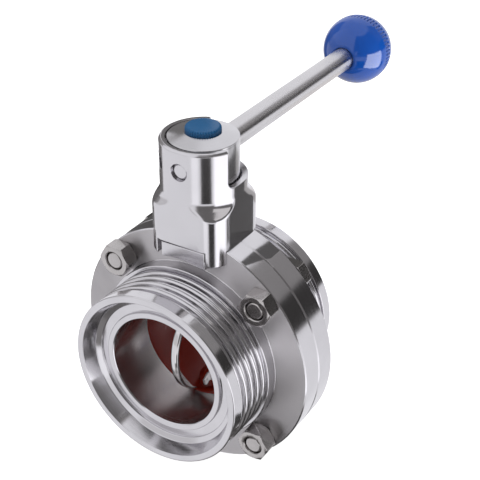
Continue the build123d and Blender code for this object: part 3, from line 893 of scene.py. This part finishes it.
def makeFasteners(values):
    nuts, bolts = [], []
    flange, finish = values["flange"], steel["fastenerSteel"]
    around = np.linspace(0, 2 * np.pi, values["shankSteps"], endpoint=False)
    for angle in values["angles"]:
        angles, radii, heights = makeNut(values)
        vertices, faces = ringGrid(radii, heights, angles, "Y")
        nuts.append(weld(newPiece("nut", placeFastener(vertices, flange, angle, values), faces)))
        angles, radii, heights = makeHead(values)
        vertices, faces = ringGrid(radii, -heights, angles, "Y", closed=False)
        bolts.append(weld(newPiece("head", placeFastener(vertices, -flange, angle, values), faces), axisGap))
        shank = makeShank(values)
        vertices, faces = ringGrid(shank[:, 0], shank[:, 1], around, "Y", closed=False)
        bolts.append(weld(newPiece("shank", placeFastener(vertices, 0, angle, values), faces), axisGap))
    finishPiece(joinPieces(nuts, "hexNuts"), "valve_body", "flange_nuts", finish)
    finishPiece(joinPieces(bolts, "hexBolts"), "valve_body", "flange_bolts", finish)


makeFasteners(boltValues)
print("fasteners made")


# finishes of the parts that keep their solids

keptParts = {
    "hubSteel": ["handle_hub"], "rodSteel": ["handle_rod"], "castSteel": ["lock_pin", "guide_bush"],
    "mirrorSteel": ["drive_stem"], "fastenerSteel": ["snap_ring", "hub_washer", "hub_screw"],
    "insertBrass": ["knob_insert"], "sealBlack": ["stem_o_ring"],
    "bearingWhite": ["upper_stem_bush", "lower_stem_bush", "thrust_washer"],
}
for finish, names in keptParts.items():
    for name in names:
        kept = nodes[name].data.materials
        kept.clear()
        kept.append(steel.get(finish) or moulded[finish])
print("kept parts finished")


# floor, sky with the studio's panels, reflected cards and two soft boxes

# lengths in metres, angles in degrees; the second box lights the ball alone
studioValues = {
    "floor": -0.0549, "floorRadius": 30.0, "floorColor": (0.5, 0.5, 0.5), "floorGlow": 0.92,
    "sky": 0.30, "lightTint": (0.97, 0.965, 1.0), "darkTint": (1.0, 0.95, 0.94),
    "overheadPower": 20.0, "overheadHeight": 1.6, "overheadSize": (2.4, 2.4),
    "ballPower": 0.24, "ballDistance": 0.15, "ballSize": (0.15, 0.124), "ballAzimuth": -5,
    "ballElevation": -21,
}

# cards seen only in reflections: their reach in x, y and z, in mm, one of them flat, then the brightness
cards = {
    "besideBlock": ((29.5, 29.5), (3, 34), (29, 80), 0.12),
    "behindNeck": ((14, 40), (36, 36), (50, 73), 0.5),
    "behindCap": ((-42, -8), (20, 20), (66, 125), 0.2),
    "behindRim": ((-58, -30), (16, 16), (28, 60), 0.1),
    "underBall": ((-40, 40), (105, 175), (45, 45), 0.9),
    "beforeNeck": ((60, 60), (-45, 12), (86, 120), 0.8),
    "shadowBelow": ((34, 74), (-40, 16), (-55.2, -55.2), 0.06),
}

# panels of the sky, later ones over earlier ones: azimuths from +X towards +Y and elevations, in degrees,
# then the width of the soft edge and the brightness
panels = {
    "table": ((-400, 400), (-100, -2), 3, 0.93),
    "underside": ((-400, 400), (-100, -52), 8, 0.15),
    "ceiling": ((-400, 400), (62, 100), 10, 0.9),
    "leftWall": ((-190, -76), (-3, 64), 10, 0.95),
    "leftLow": ((-190, -98), (-3, 16), 6, 0.7),
    "darkAbove": ((-74, 26), (-5, 64), 8, 0.16),
    "darkLow": ((-112, -56), (-62, -37), 4, 0.25),
    "darkFront": ((-64, -37), (-46, -20), 2, 0.05),
    "leftStrip": ((-88, -70), (-36, -14), 4, 1.2),
    "darkRight": ((24, 71), (-1, 50), 2.5, 0.28),
    "blackRight": ((20, 58), (-2, 20), 3, 0.045),
    "rearBox": ((72, 143), (-28, 64), 4, 0.97),
    "highBehind": ((130, 200), (36, 66), 8, 0.8),
    "darkBehind": ((146, 172), (-60, 6), 6, 0.17),
    "darkGap": ((30, 43), (-46, -28), 4, 0.12),
    "keyBox": ((-31, 22), (-43, 2), 4, 1.6),
}
panelSockets = ("Azimuth", "Elevation", "From", "To", "Low", "High", "Soft")


def panelGroup():
    tree, given, result = newGroup("panelMask", [
        (label, "NodeSocketFloat", 0.0) for label in panelSockets], [("Mask", "NodeSocketFloat")])
    mask = 1.0
    for value, low, high in (("Azimuth", "From", "To"), ("Elevation", "Low", "High")):
        for edge, sign in ((low, 1.0), (high, -1.0)):
            away = math2(tree, "MULTIPLY", math2(tree, "SUBTRACT", given[value], given[edge]), sign)
            share = math2(tree, "ADD", math2(tree, "DIVIDE", away, given["Soft"]), 0.5)
            step = addNode(tree, "ShaderNodeMapRange", {"Value": share}, interpolation_type="SMOOTHSTEP")
            mask = math2(tree, "MULTIPLY", step.outputs[0], mask)
    tree.links.new(mask, result["Mask"])
    return tree


def makeSky(values, panels):
    world = bpy.data.worlds.new("studioSky")
    bpy.context.scene.world = world
    world.use_nodes = True
    tree = world.node_tree
    tree.nodes.clear()
    place = addNode(tree, "ShaderNodeTexCoord").outputs["Generated"]
    x, y, z = addNode(tree, "ShaderNodeSeparateXYZ", {0: place}).outputs
    azimuth = math2(tree, "DEGREES", math2(tree, "ARCTAN2", y, x))
    elevation = math2(tree, "DEGREES", math2(tree, "ARCSINE", z))
    group = panelGroup()
    value = values["sky"]
    for name, (azimuths, elevations, soft, brightness) in panels.items():
        mask = addNode(tree, "ShaderNodeGroup", node_tree=group, label=name)
        settings = (azimuth, elevation, *azimuths, *elevations, soft)
        for label, setting in zip(panelSockets, settings):
            setSocket(tree, mask.inputs[label], setting)
        mix = addNode(tree, "ShaderNodeMix", {0: mask.outputs[0], 2: value, 3: brightness}, data_type="FLOAT")
        value = mix.outputs[0]
    # lights are a little cool and dark places a little warm
    shade = addNode(tree, "ShaderNodeMapRange", {"Value": value, "From Max": 0.9}).outputs[0]
    color = tinted(tree, shade, values["darkTint"], values["lightTint"])
    # the camera itself sees plain white
    direct = addNode(tree, "ShaderNodeLightPath").outputs["Is Camera Ray"]
    strength = addNode(tree, "ShaderNodeMix", {0: direct, 2: value, 3: 1.0}, data_type="FLOAT").outputs[0]
    color = tinted(tree, direct, color, (1.0, 1.0, 1.0))
    sky = addNode(tree, "ShaderNodeBackground", {"Color": color, "Strength": strength})
    addNode(tree, "ShaderNodeOutputWorld", {"Surface": sky.outputs[0]})


def makeFloor(values):
    bpy.ops.mesh.primitive_circle_add(vertices=128, radius=values["floorRadius"], fill_type="NGON",
                                      location=(0, 0, values["floor"]))
    floor = bpy.context.object
    floor.name = "studioFloor"
    material, tree, shader = newMaterial("paleFloor")
    speckle = addNode(tree, "ShaderNodeTexNoise", {"Scale": 40.0, "Detail": 3.0}).outputs[0]
    color = values["floorColor"]
    color = tinted(tree, speckle, color, tuple(c * 0.995 for c in color))
    tree.links.new(color, shader.inputs["Base Color"])
    shader.inputs["Roughness"].default_value = 0.9
    shader.inputs["Specular IOR Level"].default_value = 0.1
    shader.inputs["Emission Strength"].default_value = values["floorGlow"]
    shader.inputs["Emission Color"].default_value = (1, 1, 1, 1)
    floor.data.materials.append(material)
    floor.visible_glossy = floor.visible_diffuse = False


def makeCard(name, spans, brightness):
    flat = [i for i in range(3) if spans[i][0] == spans[i][1]][0]
    first, second = [i for i in range(3) if i != flat]
    corners = np.tile([span[0] for span in spans], (4, 1)).astype(float)
    corners[:, first] = [spans[first][i] for i in (0, 1, 1, 0)]
    corners[:, second] = [spans[second][i] for i in (0, 0, 1, 1)]
    piece = newPiece(name, corners * mm, [(0, 1, 2, 3)])
    material, tree, shader = newMaterial(name + "Glow")
    speckle = addNode(tree, "ShaderNodeTexNoise", {"Scale": 60.0, "Detail": 2.0}).outputs[0]
    glow = tinted(tree, speckle, (1.0, 0.97, 0.97), (0.96, 0.93, 0.93))
    tree.links.new(glow, shader.inputs["Emission Color"])
    shader.inputs["Emission Strength"].default_value = brightness
    shader.inputs["Base Color"].default_value = (0, 0, 0, 1)
    shader.inputs["Roughness"].default_value = 1.0
    shader.inputs["Specular IOR Level"].default_value = 0.0
    piece.data.materials.append(material)
    piece.visible_camera = piece.visible_diffuse = False
    piece.visible_shadow = piece.visible_transmission = False


def softBox(name, size, power):
    data = bpy.data.lights.new(name, "AREA")
    data.shape, data.energy = "RECTANGLE", power
    data.size, data.size_y = size
    light = bpy.data.objects.new(name, data)
    bpy.context.scene.collection.objects.link(light)
    return light


def lightAbove(values):
    light = softBox("overheadBox", values["overheadSize"], values["overheadPower"])
    light.location = (0, 0, values["overheadHeight"])
    light.visible_glossy = False


def lightBall(values, ball):
    light = softBox("ballBox", values["ballSize"], values["ballPower"])
    turn, lift = math.radians(values["ballAzimuth"]), math.radians(values["ballElevation"])
    away = Vector((math.cos(turn) * math.cos(lift), math.sin(turn) * math.cos(lift), math.sin(lift)))
    middle = sum((Vector(corner) for corner in ball.bound_box), Vector()) / 8
    light.location = ball.matrix_world @ middle + away * values["ballDistance"]
    light.rotation_euler = away.to_track_quat("Z", "Y").to_euler()
    light.visible_camera = False
    lit = bpy.data.collections.new("litByBallBox")
    lit.objects.link(ball)
    light.light_linking.receiver_collection = lit


makeSky(studioValues, panels)
makeFloor(studioValues)
lightBall(studioValues, ballGrip)
for name, (*spans, brightness) in cards.items():
    makeCard(name, spans, brightness)
lightAbove(studioValues)
bpy.context.scene.view_settings.view_transform = "Standard"
print("studio set")
